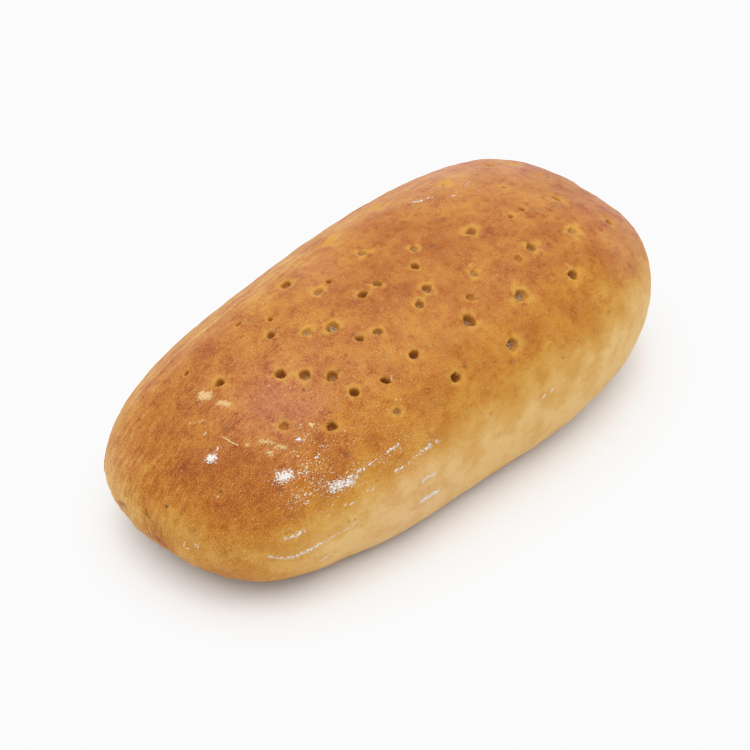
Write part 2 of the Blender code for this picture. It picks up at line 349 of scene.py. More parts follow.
# Where its tan is greyer: partly its own greyer tint, partly painted sheen
GREY_AND_SHEEN_MM = (
    ((-88, -26, 77), 38, 0.12),
    ((128, -26, 74), 26, 0.3),
    ((99, 47, 82), 38, 0.35),
    ((-55, -71, 30), 26, 0.3),
    ((-146, 33, 40), 18, 0.1),
    ((-77, -50, 72), 22, -0.25),
    ((-123, -33, 61), 16, -0.25),
    ((-20, 30, 88), 14, 0.15),
    ((106, -50, 72), 13, 0.2),
    ((-88, -10, 78), 12, 0.16),
    ((-80, -28, 79), 11, 0.16),
    ((118, 26, 81), 12, 0.33),
    ((-140, 30, 46), 14, 0.12),
)

# The creases of the tucked end, as seen from it: their two ends across and up, how far
# they sag, and their half width and depth
CREASES_MM = (
    ((38, 40), (24, 33), 0.5, 0.55, 0.5),
    ((36.5, 42.5), (23, 35.5), 0.5, 0.5, 0.4),
    ((33, 44.5), (22.5, 38), 0.5, 0.5, 0.4),
    ((23.5, 49), (19, 45.5), 0, 0.7, 0.5),
    ((20, 46.3), (13.5, 38), 1, 0.5, 0.4),
    ((13.9, 38.8), (7.5, 27), 0.6, 0.5, 0.35),
    ((31, 24), (20, 33), -0.5, 2, 0.9),
    ((9.5, 39.5), (3, 36), 0.6, 0.6, 0.7),
    ((6.5, 41), (4.2, 33.5), 0.3, 0.6, 0.7),
    ((2.5, 35.5), (-2.5, 38), 0.3, 0.5, 0.45),
    ((5.8, 36), (2.8, 26.5), 0.5, 0.7, 0.6),
    ((-3, 37), (-5.5, 27), -1, 0.7, 0.4),
    ((2, 29), (-9, 26), 1, 1.3, 0.8),
)
# the creases' darkening is painted shade, full from this depth on
CREASE_SHADED = 0.7 * MM  # at this depth a crease is fully dark
CREASE_STEPS = 18

# Low swells of the tucked end's folds: place, reach and height
SWELLS_MM = (
    ((-145, 31, 38), 9, 1.5),
    ((-148.5, 9.5, 33), 5, 0.4),
    ((-149, -3.5, 29), 5, 0.4),
    ((-148.5, -14.5, 28), 5, 0.5),
    ((-145, -27, 29), 6, 0.5),
)

# Where dough dried on the crust in thin pale patches, as the smears of flour are given
DOUGH_MM = (
    (2.6, 1.05, (-103.6, 17.2, 73), (-102.4, 14.8, 73.4)),
    (1.7, 0.9, (-101.8, 7.6, 73.8), (-100.2, 3.6, 74.3)),
    (0.9, 0.62, (-116.4, 12, 67.6), (-111.6, 6.6, 69.9)),
    (1.5, 0.72, (-104.4, -22.6, 71.9), (-101.6, -26.4, 72.5)),
    (2, 0.66, (-101.2, -29.6, 72), (-99.2, -33, 71.8)),
    (1.7, 0.72, (-105.6, -28.6, 70.5), (-105, -30.6, 70.4)),
    (1.2, 0.9, (-84.3, -33.9, 76.6), (-83.9, -34.5, 76.6)),
    (0.9, 0.7, (-42.3, -42.6, 82.6), (-41.4, -41.4, 83.2)),
    (0.6, 0.8, (-47.5, -49.8, 78.6), (-44.6, -51.6, 78.2)),
    (1, 0.7, (-109.4, -18, 70.4), (-108.6, -19.6, 70.6)),
    (0.55, 0.8, (-143.6, 38, 42), (-147, 30.6, 38.4), (-149, 23, 35.4)),
    (0.55, 0.8, (-144.3, 34.6, 45), (-147.4, 27.4, 41.4), (-148.6, 22, 38.6)),
    (0.8, 0.75, (-149.5, 5.8, 36.8), (-149.6, 4.6, 32), (-149.6, 3.3, 26.8)),
)

# Bits of dried dough and straw that stick to the crust: what each is, its place, its
# length, width and thickness in millimetres, and how it is turned in degrees
BITS_MM = (
    ("straw", (-112.2, -9.2, 69.7), (4.6, 0.6, 0.5), -84),
    ("straw", (-111.7, -13.4, 69.8), (4.4, 0.6, 0.5), -76),
    ("straw", (-148.2, -18.4, 34.8), (3.4, 0.9, 0.5), 70),
    ("straw", (-147.8, -20.2, 33.4), (2.2, 0.9, 0.5), 160),
    ("straw", (-146.4, -24.8, 37.3), (2.8, 0.8, 0.4), 100),
    ("dough", (-146.8, -23.6, 36), (1.4, 0.8, 0.4), 10),
    ("dough", (-115.6, 1.4, 68.2), (2, 1, 0.7), 20),
    ("dough", (-102.8, -22.8, 72.4), (1.3, 0.9, 0.5), 70),
    ("dough", (-101.6, -27.2, 72.2), (1.1, 0.8, 0.4), 10),
    ("dough", (-99.6, -32.4, 71.8), (1.4, 0.9, 0.5), 120),
    ("dough", (-105.4, -29.2, 70.6), (1.2, 0.9, 0.4), 40),
    ("dough", (-82.6, -4.6, 80.3), (1.2, 0.8, 0.5), 70),
    ("dough", (-77.6, -13.4, 81.2), (1.1, 0.7, 0.4), 20),
    ("dough", (-42.6, -42.4, 82.7), (1.2, 0.8, 0.4), 40),
    ("dough", (-92, -58.8, 61), (1.2, 0.9, 0.5), 40),
    ("dough", (-98.4, -50.2, 64.6), (1.1, 0.8, 0.5), 80),
)


# ---- Working by hand: selecting, edit mode and applied modifiers ----


def take(piece):
    """Selects this piece alone and makes it the active one."""
    bpy.ops.object.select_all(action="DESELECT")
    piece.select_set(True)
    bpy.context.view_layer.objects.active = piece


def link(piece):
    bpy.context.scene.collection.objects.link(piece)


def edit(piece, select_mode="FACE"):
    take(piece)
    bpy.ops.object.mode_set(mode="EDIT")
    bpy.ops.mesh.select_mode(type=select_mode)


def edit_all(piece, select_mode="FACE"):
    edit(piece, select_mode)
    bpy.ops.mesh.select_all(action="SELECT")


def leave_edit():
    bpy.ops.object.mode_set(mode="OBJECT")


def edit_faces(piece, chosen):
    """Enters edit mode with the faces selected whose flag is set, and nothing else."""
    mesh = piece.data
    mesh.vertices.foreach_set("select", np.zeros(len(mesh.vertices), bool))
    mesh.edges.foreach_set("select", np.zeros(len(mesh.edges), bool))
    mesh.polygons.foreach_set("select", chosen)
    edit(piece)


def apply_modifier(piece, kind, **settings):
    take(piece)
    modifier = piece.modifiers.new(kind.title(), kind)
    for name, value in settings.items():
        setattr(modifier, name, value)
    bpy.ops.object.modifier_apply(modifier=modifier.name)


def vectors_of(items, name):
    """This vector of each vertex or face, as the rows of an array."""
    found = np.empty(len(items) * 3, np.float32)
    items.foreach_get(name, found)
    return found.reshape(-1, 3).astype(float)


def places(piece):
    return vectors_of(piece.data.vertices, "co")


def surface_tree(piece):
    mesh = piece.data
    corners = [vertex.co for vertex in mesh.vertices]
    return BVHTree.FromPolygons(corners, [face.vertices[:] for face in mesh.polygons])


def smooth_step(low, high, values):
    share = np.clip((values - low) / (high - low), 0, 1)
    return share * share * (3 - 2 * share)


def paint(piece, name, values):
    """A mask that the material reads, one value for each vertex."""
    mask = piece.data.attributes.new(name, "FLOAT", "POINT")
    mask.data.foreach_set("value", np.clip(values, 0, 1.5).astype(np.float32))


def press(piece, name, amounts, texture=None):
    """Moves the skin along its normals by these amounts, with a Displace modifier. With
    a texture the amounts are the texture's strength at each vertex."""
    deepest = float(np.abs(amounts).max())
    for sign in (1, -1):
        weights = np.clip(sign * amounts / deepest, 0, 1)
        if not weights.any():
            continue
        group = piece.vertex_groups.new(name=name)
        for index in np.nonzero(weights)[0]:
            group.add([int(index)], float(weights[index]), "REPLACE")
        settings = {"vertex_group": name, "strength": sign * deepest, "mid_level": 0}
        if texture:
            settings.update(texture=texture, texture_coords="LOCAL", mid_level=RELIEF_LEVEL)
        apply_modifier(piece, "DISPLACE", **settings)
        piece.vertex_groups.remove(piece.vertex_groups[name])


def clouds(name, size, depth=2):
    texture = bpy.data.textures.new(name, "CLOUDS")
    texture.noise_scale = size
    texture.noise_depth = depth
    return texture


# ---- The crust ----


def copy_of_loaf():
    """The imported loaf's form as a piece of its own, with its loose triangles merged."""
    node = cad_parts["loaf"]
    crust = bpy.data.objects.new("crust", node.data.copy())
    crust.data.name = "crust"
    crust.data.materials.clear()
    link(crust)
    edit_all(crust)
    bpy.ops.mesh.remove_doubles(threshold=0.01 * MM)
    bpy.ops.mesh.customdata_custom_splitnormals_clear()
    leave_edit()
    return crust


def hole_list():
    """Every docking hole: its place in plan, what its pin left, and its draws."""
    draw = random.Random(HOLE_SEED)
    found = []
    for station, lean, across_all, kinds in DOCKING_ROWS_MM:
        for across, kind in zip(across_all, kinds):
            along = station - lean * across + CENTRED_MM[0]
            found.append({
                "plan": Vector((along, across + CENTRED_MM[1], 0)) * MM,
                "kind": kind,
                "size": draw.uniform(0.92, 1.08),
                "turned": draw.uniform(0, math.tau),
                "seed": draw.uniform(0, 100),
            })
    return found


def find_mouths(holes, tree, round_by):
    """Sets each hole's mouth and axis, from the skin on a ring round it."""
    for hole in holes:
        spots, ups = [], []
        for i in range(8):
            angle = math.tau * i / 8
            beside = Vector((math.cos(angle), math.sin(angle), 0)) * round_by
            above = hole["plan"] + beside + Vector((0, 0, CLEAR))
            spot, up, _, _ = tree.ray_cast(above, Vector((0, 0, -1)))
            spots.append(spot)
            ups.append(up)
        hole["mouth"] = sum(spots, Vector()) / len(spots)
        hole["axis"] = sum(ups, Vector()).normalized()


def close_packed_holes(crust, holes):
    """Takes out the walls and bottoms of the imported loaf's holes and closes the skin, so
    that the holes can be pressed in again with round mouths."""
    find_mouths(holes, surface_tree(crust), SOUND_SKIN)
    centres = vectors_of(crust.data.polygons, "center")
    normals = vectors_of(crust.data.polygons, "normal")
    inside = np.zeros(len(centres), bool)
    for hole in holes:
        axis = np.array(hole["axis"])
        away = centres - np.array(hole["mouth"])
        down = -away @ axis
        aside = np.linalg.norm(away + down[:, None] * axis, axis=1)
        steep = (normals @ axis < 0.85) & (down > -1 * MM)
        inside |= (aside < PACKED_HALF) & (down < PACKED_DEPTH) & ((down > PACKED_RIM) | steep)
    edit_faces(crust, inside)
    bpy.ops.mesh.delete(type="FACE")
    bpy.ops.mesh.select_mode(type="EDGE")
    bpy.ops.mesh.select_all(action="DESELECT")
    bpy.ops.mesh.select_non_manifold()
    bpy.ops.mesh.fill_holes(sides=0)
    leave_edit()


def even_skin(crust):
    apply_modifier(crust, "REMESH", mode="VOXEL", voxel_size=SKIN_VOXEL, use_smooth_shade=True)
    apply_modifier(crust, "SMOOTH", factor=0.5, iterations=SKIN_EVENING)
    press(crust, "fill", smooth_step(0, 6 * MM, places(crust)[:, 2]) * SKIN_FILL)


def fit_to_box(crust):
    """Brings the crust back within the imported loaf's box, and its base onto the floor."""
    spots = places(crust)
    low, high = (np.array(corner) for corner in CAD_BOX)
    spots *= [
        min(1, high[i] / spots[:, i].max(), low[i] / spots[:, i].min() if i < 2 else 1)
        for i in range(3)
    ]
    spots[:, 2] = np.maximum(spots[:, 2], 0)
    crust.data.vertices.foreach_set("co", spots.astype(np.float32).ravel())
    crust.data.update()


def refine(crust, spots, grow):
    """Subdivides the faces whose centres are within grow of a spot's own radius."""
    centres = vectors_of(crust.data.polygons, "center")
    near = np.zeros(len(centres), bool)
    for place, radius in spots:
        near |= np.linalg.norm(centres - np.array(place), axis=1) < radius + grow
    edit_faces(crust, near)
    bpy.ops.mesh.subdivide(number_cuts=1)
    leave_edit()


def along_smear(points, step):
    """Points along a smear, a step apart."""
    found = []
    for start, end in zip(points, points[1:]):
        start, end = Vector(start) * MM, Vector(end) * MM
        count = max(1, round((end - start).length / step))
        found += [start.lerp(end, i / count) for i in range(count + 1)]
    return found


def crease_line(tree, start, end, sag):
    """A crease's points on the skin, from a line seen from the tucked end."""
    found = []
    for i in range(CREASE_STEPS + 1):
        share = i / CREASE_STEPS
        across = start[0] + (end[0] - start[0]) * share
        up = start[1] + (end[1] - start[1]) * share - sag * math.sin(math.pi * share)
        before = Vector((-CLEAR, across * MM, up * MM))
        spot, _, _, _ = tree.ray_cast(before, Vector((1, 0, 0)))
        found.append(spot)
    return found


def distance_to_line(spots, line):
    """The distance of each spot to the nearest piece of a line, and the share of the line
    at which it is nearest."""
    nearest = np.full(len(spots), 1.0)
    share = np.zeros(len(spots))
    for i, (start, end) in enumerate(zip(line, line[1:])):
        start, end = np.array(start), np.array(end)
        run = end - start
        part = np.clip((spots - start) @ run / max(run @ run, 1e-12), 0, 1)
        away = np.linalg.norm(spots - start - part[:, None] * run, axis=1)
        closer = away < nearest
        nearest = np.where(closer, away, nearest)
        share = np.where(closer, (i + part) / (len(line) - 1), share)
    return nearest, share


def from_bottom(across, onward, skew):
    """How far each spot of a round mouth of radius 1 is from the bottom's middle to the
    rim, where the middle is off the mouth's own by skew. It is 1 all along the rim."""
    away = np.stack([across - skew[0], onward - skew[1]])
    reach = np.maximum(np.hypot(*away), 1e-6)
    way = away / reach
    along = way[0] * skew[0] + way[1] * skew[1]
    rim = np.sqrt(along**2 + 1 - skew[0] ** 2 - skew[1] ** 2) - along
    return reach / rim


def stray_of_rim(turn, seed):
    """How far the rim of a mouth strays from round at this turn."""
    way = (math.cos(turn), math.sin(turn))
    coarse = noise.noise(Vector((*way, seed)))
    return coarse + 0.5 * noise.noise(Vector((*way, seed + 9)) * 2.7)


def within_mouth(hole, away, radius, narrow):
    """Where each spot lies across and onward in a mouth, whose uneven rim is made round
    with radius 1, and where the middle of its bottom is."""
    side = hole["axis"].orthogonal().normalized()
    side.rotate(Matrix.Rotation(hole["turned"], 3, hole["axis"]))
    other = hole["axis"].cross(side)
    across = away @ np.array(side)
    onward = away @ np.array(other) / narrow
    strays = [stray_of_rim(turn, hole["seed"]) for turn in np.arctan2(onward, across)]
    rim = radius * (1 + HOLE_UNEVEN * np.array(strays))
    amount = HOLE_SKEW * smooth_step(*SKEW_SPAN, hole["plan"].x)
    skew = [Vector(SKEW_WAY).dot(way) * amount for way in (side, other)]
    return across / rim, onward / rim, skew


def press_holes(crust, holes):
    """The holes and the shallow dips round them. Paints where the walls, the crumb at the
    bottom and the amber ring show."""
    spots = places(crust)
    depth = np.zeros(len(spots))
    masks = {name: np.zeros(len(spots)) for name in ("wall", "bottom", "crumb", "halo")}
    for hole in holes:
        deep, wide, narrow, crumb, brown, ring = HOLES[hole["kind"]]
        radius = wide * hole["size"] * MM / 2
        away = spots - np.array(hole["mouth"])
        near = np.nonzero(np.linalg.norm(away, axis=1) < radius * 3)[0]
        across, onward, skew = within_mouth(hole, away[near], radius, narrow)
        share = np.hypot(across, onward)
        off = from_bottom(across, onward, skew)
        pit = 1 - smooth_step(0.5, 1.08, off)
        dip = np.exp(-((share / HALO_REACH) ** 2) * 1.6)
        depth[near] += deep * hole["size"] * MM * pit + HALO_DIP * dip
        is_open = hole["kind"] not in "af"
        within = 1 - smooth_step(0.72, 1.06, share)
        bottom = 1 - smooth_step(0.45, 0.8, off)
        frayed = share / (1 + HALO_UNEVEN * np.array([
            noise.noise(Vector(spot) / HALO_FRAY) for spot in spots[near]
        ]))
        frayed /= 1 + HALO_SPREAD * smooth_step(*HALO_SPREAD_SPAN, hole["plan"].x)
        fading = 1 - smooth_step(0.85, HALO_REACH, frayed)
        shown = {
            "wall": within * brown,
            "bottom": bottom * is_open,
            "crumb": crumb * (share < 1.4),
            "halo": ring * fading,
        }
        for name, values in shown.items():
            masks[name][near] = np.maximum(masks[name][near], values)
    torn = masks["bottom"] * (0.35 + 0.65 * masks["crumb"])
    for name, values in masks.items():
        paint(crust, name, values)
    press(crust, "docking_holes", -depth)
    press(crust, "torn_crumb", torn * TORN_CRUMB[0], clouds("torn_crumb", TORN_CRUMB[1]))


def press_swells(crust):
    press(crust, "swells", patches(places(crust), SWELLS_MM) * MM)


def press_creases(crust, lines):
    spots = places(crust)
    depth = np.zeros(len(spots))
    for line, (_, _, _, half, deep) in zip(lines, CREASES_MM):
        away, share = distance_to_line(spots, line)
        fade = np.sin(np.pi * np.clip(share, 0.02, 0.98)) ** 0.6
        groove = np.exp(-((away / (half * MM)) ** 2))
        lip = np.exp(-(((away - 2.1 * half * MM) / (half * MM)) ** 2))
        depth += deep * MM * fade * (groove - 0.25 * lip)
    # painted shade: the creases are darkened by the depth of their grooves
    paint(crust, "crease_shade", np.clip(depth / CREASE_SHADED, 0, 1))
    press(crust, "creases", -depth)


def smears(spots, listed):
    """How thickly the listed smears lie at each spot."""
    found = np.zeros(len(spots))
    for half, thick, *points in listed:
        line = [Vector(point) * MM for point in points]
        away, _ = distance_to_line(spots, line)
        found = np.maximum(found, thick * np.exp(-((away / (half * MM)) ** 1.5) * 0.8))
    return found


def lay_flour(crust):
    """Paints the smears of flour and dried dough and raises the skin by their thickness."""
    spots = places(crust)
    flour, dough = smears(spots, FLOUR_MM), smears(spots, DOUGH_MM)
    paint(crust, "flour", flour)
    paint(crust, "dough", dough)
    paint(crust, "dust", patches(spots, DUST_MM))
    press(crust, "flour", smooth_step(0.3, 0.9, np.maximum(flour, dough)) * FLOUR_THICKNESS)


def paint_specks(crust):
    dark = patches(places(crust), SPECKS_MM, np.maximum)
    paint(crust, "speck", dark)
    press(crust, "specks", -dark * SPECK_PIT)


def press_relief(crust):
    """The low unevenness of the whole crust, which fades towards the flat base."""
    along, _, height = places(crust).T
    held = smooth_step(0.3 * MM, FLAT_EDGE, height)
    press(crust, "dents", held * DENTS[0], clouds("dents", DENTS[1], 1))
    pebbled = PEBBLING[0] + PEBBLING_ADDED * smooth_step(-20 * MM, FULL_END[1], along)
    press(crust, "pebbling", held * pebbled, clouds("pebbling", PEBBLING[1]))
    low = (1 - smooth_step(*TUCK_HEIGHT, height)) * (1 - smooth_step(*TUCK_LENGTH, along))
    press(crust, "tuck", held * low * TUCK[0], clouds("tuck", TUCK[1], 1))


def patches(spots, listed, merge=np.add):
    """How strongly the listed patches show at each spot. Each fades away from its place."""
    found = np.zeros(len(spots))
    for place, reach, amount in listed:
        away = np.linalg.norm(spots - np.array(place) * MM, axis=1)
        found = merge(found, amount * np.exp(-((away / (reach * MM)) ** 2)))
    return found


def draw_out(spots, normals):
    """Where each spot lies in a grain that runs along the loaf and up over its ends: how
    far along it is, and then where it is across the grain."""
    x, y, z = spots.T
    along = x - np.sign(x) * smooth_step(60 * MM, 120 * MM, np.abs(x)) * z
    return np.stack([along, y, smooth_step(0.5, 0.9, np.abs(normals[:, 1])) * z], axis=1)


def paint_bake(crust):
    """How far the oven browned the crust: the more it faces up and the nearer it is to the tucked
    end, the more. The far slope is painted paler, which is painted sheen of the bright room seen
    there at a grazing angle. Low on the tucked end it is painted darker, which is painted shade where
    the end curves under as well as browner crust."""
    spots, normals = places(crust), vectors_of(crust.data.vertex_normals, "vector")
    along, across, _ = spots.T
    _, outward, up = normals.T
    far = smooth_step(0.1, 0.55, outward) * (1 - 0.75 * smooth_step(0.55, 0.9, outward))
    tucked = 1 - smooth_step(*TUCKED_END, along)
    fuller = smooth_step(*FULL_END, along)
    # paler on the far slope: painted sheen of the bright room at a grazing view
    browning_with_painted_light = 1.06 * smooth_step(-0.15, 0.95, up) - 0.05 - 0.3 * far + 0.28 * tucked
    # darker low on the tucked end: painted shade where it curves under towards the floor, as well as
    # browner crust
    browning_with_painted_light += 0.22 * (1 - smooth_step(-0.1, 0.5, up)) * tucked + patches(spots, BROWNING_MM)
    paint(crust, "browning_with_painted_light", browning_with_painted_light)
    paint(crust, "mealy", (0.2 + 0.8 * smooth_step(0.2, 1, browning_with_painted_light)) * (1 + 0.2 * fuller))
    # greyer on the far slope and on the faces turned up: painted sheen of the bright room and the
    # lamp
    greyness_and_sheen = 0.3 * far * (1 - 0.6 * tucked) + 0.06 * smooth_step(0.85, 0.97, up) * (1 - tucked)
    paint(crust, "greyness_and_sheen", greyness_and_sheen + patches(spots, GREY_AND_SHEEN_MM))
    paint(crust, "underside", 1 - smooth_step(-0.9, -0.55, up))
    coarse = 1 - smooth_step(-80 * MM, FULL_END[0], along)
    side = tucked + (1 - tucked) * (0.4 + 0.6 * smooth_step(0.2, 0.75, up))
    paint(crust, "grain", (0.46 + 0.54 * coarse) * side)
    upper_end = 0.7 * tucked * smooth_step(-35 * MM, 5 * MM, across)
    far_streaks = 0.9 * far * (1 - 0.7 * smooth_step(70 * MM, 115 * MM, along))
    paint(crust, "streaked", np.maximum(0.08, np.maximum(upper_end, far_streaks)))
    drawn = crust.data.attributes.new("drawn", "FLOAT_VECTOR", "POINT")
    drawn.data.foreach_set("vector", draw_out(spots, normals).astype(np.float32).ravel())


def make_crust():
    crust = copy_of_loaf()
    holes = hole_list()
    close_packed_holes(crust, holes)
    even_skin(crust)
    tree = surface_tree(crust)
    find_mouths(holes, tree, MOUTH_RING)
    creases = [crease_line(tree, start, end, sag) for start, end, sag, _, _ in CREASES_MM]
    paint_bake(crust)
    mouths = [(hole["mouth"], HOLES[hole["kind"]][1] * MM / 2) for hole in holes]
    smeared = [
        (place, half * MM)
        for half, _, *points in FLOUR_MM + DOUGH_MM
        for place in along_smear(points, 1.5 * MM)
    ]
    specks = [(Vector(place) * MM, radius * MM) for place, radius, _ in SPECKS_MM]
    folds = [(spot, 1.5 * MM) for line in creases for spot in line]
    refine(crust, mouths + smeared + specks + folds, FINE_REACH)
    refine(crust, mouths + smeared + specks, FINEST_REACH)
    press_relief(crust)
    press_swells(crust)
    press_holes(crust, holes)
    press_creases(crust, creases)
    lay_flour(crust)
    paint_specks(crust)
    fit_to_box(crust)
    crust.data.shade_smooth()
    return crust


# ---- The bits that stick to it ----


def model_dough():
    """A crumb of dried dough, with a lumpy surface."""
    bpy.ops.mesh.primitive_ico_sphere_add(subdivisions=4, radius=1)
    crumb = bpy.context.active_object
    apply_modifier(
        crumb, "DISPLACE", texture=clouds("lumpy", 0.55, 3), strength=1.1, mid_level=0.5
    )
    edit_all(crumb)
    bpy.ops.transform.resize(value=(1, 1, 0.7), center_override=(0, 0, 0))
    leave_edit()
    return crumb


def model_straw():
    """A bit of straw: a flattened stalk that bends a little, with blunt ends."""
    bpy.ops.mesh.primitive_cylinder_add(vertices=12, radius=1, depth=2, rotation=(0, math.pi / 2, 0))
    straw = bpy.context.active_object
    bpy.ops.object.transform_apply(location=False, rotation=True, scale=False)
    edit_all(straw, "EDGE")
    bpy.ops.mesh.bevel(offset=0.08, segments=2)
    bpy.ops.mesh.select_all(action="SELECT")
    bpy.ops.mesh.subdivide(number_cuts=1)
    leave_edit()
    apply_modifier(
        straw, "DISPLACE", texture=clouds("stalk", 0.7, 1), strength=0.5, mid_level=0.5, direction="Z"
    )
    return straw


def stick_bits(crust):
    """Copies of each bit, turned and sized, half sunk into the skin where they stick."""
    tree = surface_tree(crust)
    models = {"dough": model_dough(), "straw": model_straw()}
    stuck = []
    for kind, place, size, turn in BITS_MM:
        spot, up, _, _ = tree.find_nearest(Vector(place) * MM)
        bit = models[kind].copy()
        bit.data = models[kind].data.copy()
        bit.name = bit.data.name = f"{kind}_{1 + sum(name == kind for name, _ in stuck)}"
        link(bit)
        along = Vector((1, 0, 0)) - up * up.x
        along.rotate(Matrix.Rotation(math.radians(turn), 3, up))
        along.normalize()
        axes = Matrix((along, up.cross(along), up)).transposed()
        long, wide, thick = (value * MM / 2 for value in size)
        turned = (axes @ Matrix.Diagonal((long, wide, thick))).to_4x4()
        bit.matrix_world = Matrix.Translation(spot + up * thick * 0.45) @ turned
        take(bit)
        bpy.ops.object.transform_apply(location=True, rotation=True, scale=True)
        bit.data.shade_smooth()
        stuck.append((kind, bit))
    for model in models.values():
        bpy.data.objects.remove(model)
    return stuck


# ---- Materials ----


def plug(tree, node, inputs):
    """Sets the inputs of a node. Each is a plain value or another node's output."""
    for name, value in inputs.items():
        if isinstance(value, bpy.types.NodeSocket):
            tree.links.new(value, node.inputs[name])
        else:
            node.inputs[name].default_value = value


def add(tree, kind, inputs=None, **settings):
    made = tree.nodes.new("ShaderNode" + kind)
    for name, value in settings.items():
        setattr(made, name, value)
    plug(tree, made, inputs or {})
    return made


def noise_of(tree, place, scale, detail=2, rough=0.5):
    inputs = {"Vector": place, "Scale": scale, "Detail": detail, "Roughness": rough}
    return add(tree, "TexNoise", inputs).outputs["Fac"]


def stretched(tree, place, scale):
    return add(tree, "Mapping", {"Vector": place, "Scale": scale}).outputs["Vector"]


def span(tree, value, low, high, to_low=0, to_high=1):
    inputs = {"Value": value, "From Min": low, "From Max": high, "To Min": to_low, "To Max": to_high}
    return add(tree, "MapRange", inputs, interpolation_type="SMOOTHSTEP").outputs["Result"]


def sums(tree, how, first, second):
    return add(tree, "Math", {0: first, 1: second}, operation=how).outputs["Value"]


def added(tree, first, second):
    return sums(tree, "ADD", first, second)


def scaled(tree, first, second):
    return sums(tree, "MULTIPLY", first, second)


def mixed(tree, share, first, second, how="MIX"):
    inputs = {0: share, 6: first, 7: second}
    return add(tree, "Mix", inputs, data_type="RGBA", blend_type=how).outputs[2]


def shades_of(tree, value, shades):
    """A colour for each value, read from a list of values and colours."""
    most = shades[-1][0]
    ramp = add(tree, "ValToRGB", {"Fac": sums(tree, "DIVIDE", value, most)})
    stops = ramp.color_ramp.elements
    stops.remove(stops[1])
    stops[0].position = shades[0][0] / most
    stops[0].color = (*shades[0][1], 1)
    for share, colour in shades[1:]:
        stops.new(share / most).color = (*colour, 1)
    return ramp.outputs["Color"]


def mask_of(tree, name):
    return add(tree, "Attribute", attribute_name=name, attribute_type="GEOMETRY").outputs["Fac"]


def masked(tree, value, name):
    return scaled(tree, value, mask_of(tree, name))


def group_with(name, inputs, outputs):
    tree = bpy.data.node_groups.new(name, "ShaderNodeTree")
    for title, kind in inputs:
        tree.interface.new_socket(title, in_out="INPUT", socket_type=kind)
    for title, kind in outputs:
        tree.interface.new_socket(title, in_out="OUTPUT", socket_type=kind)
    start = tree.nodes.new("NodeGroupInput")
    end = tree.nodes.new("NodeGroupOutput")
    return tree, start, end


FLOAT, VECTOR = "NodeSocketFloat", "NodeSocketVector"


def grain_group():
    """The fine grain of a baked surface, of dots and short dashes, and longer streaks.
    The dashes and streaks run along the first of the drawn-out coordinates."""
    tree, start, end = group_with(
        "baked_grain", [("Place", VECTOR), ("Drawn", VECTOR), ("Fineness", FLOAT)],
        [("Grain", FLOAT), ("Streaks", FLOAT)],
    )
    place, drawn, fineness = (start.outputs[name] for name in ("Place", "Drawn", "Fineness"))
    dots = noise_of(tree, place, scaled(tree, fineness, 1.8), 1, 0.6)
    dashes = noise_of(tree, stretched(tree, drawn, (0.5, 1, 1)), fineness, 2, 0.6)
    long = stretched(tree, drawn, (0.16, 1, 1))
    streaks = noise_of(tree, long, scaled(tree, fineness, 0.3), 2, 0.6)
    both = add(tree, "Mix", {0: 0.68, 2: dashes, 3: dots}).outputs[0]
    plug(tree, end, {"Grain": both, "Streaks": streaks})
    return tree


def flecks_group():
    """Small uneven flecks: the peaks of a noise that rise above a level."""
    tree, start, end = group_with(
        "flecks", [("Place", VECTOR), ("Scale", FLOAT), ("Level", FLOAT), ("Stretch", VECTOR)],
        [("Flecks", FLOAT)],
    )
    drawn = stretched(tree, start.outputs["Place"], start.outputs["Stretch"])
    peaks = noise_of(tree, drawn, start.outputs["Scale"], 1, 0.5)
    above = sums(tree, "SUBTRACT", peaks, start.outputs["Level"])
    plug(tree, end, {"Flecks": span(tree, above, -0.02, 0.03)})
    return tree


# From pale to dark, as the crust browns: how far it is browned, and its colour
BAKED = (
    (0, (0.65, 0.392, 0.138)),
    (0.15, (0.592, 0.322, 0.09)),
    (0.35, (0.535, 0.266, 0.056)),
    (0.55, (0.475, 0.212, 0.034)),
    (0.75, (0.425, 0.165, 0.021)),
    (0.95, (0.375, 0.13, 0.017)),
    (1.15, (0.32, 0.097, 0.01)),
    (1.45, (0.25, 0.062, 0.005)),
)
GREY_AND_SHEEN_TINT = (0, 0, 0.1, 1)
GRAINED = (0.11, 0.065, 0.03, 1)
AMBER = (0.53, 0.25, 0.042, 1)
CRUMB = (0.35, 0.232, 0.12, 1)
CRUMB_DARK = (0.15, 0.085, 0.032, 1)
SCORCHED = (0.28, 0.088, 0.009, 1)
PAINTED_CREASE_SHADE = (0.25, 0.09, 0.018, 1)
DOUGH = (0.6, 0.39, 0.17, 1)
SPECK = (0.035, 0.018, 0.01, 1)
PORE = (0.13, 0.052, 0.014, 1)
SMUDGE = (0.27, 0.098, 0.034, 1)
GLINT = (0.64, 0.43, 0.2, 1)
FLOUR = (0.68, 0.64, 0.59, 1)
DUST = (0.66, 0.52, 0.35, 1)
UNDERSIDE = (0.4, 0.225, 0.095, 1)
UNDERSIDE_DARK = (0.23, 0.105, 0.035, 1)

# The flecks of the crust: how many to the metre, the level of the noise that they rise
# above, how strongly and in which colour they show, and the mask that they follow
FLECKS = (
    (270, 0.76, 0.4, PORE, "mealy"),
    (900, 0.74, 0.5, PORE, "grain"),
    (1100, 0.77, 0.7, GLINT, "grain"),
)
FLECK_STRETCH = (0.6, 1, 1)
CRUST_FINENESS = 1500  # of its grain, in dashes to the metre


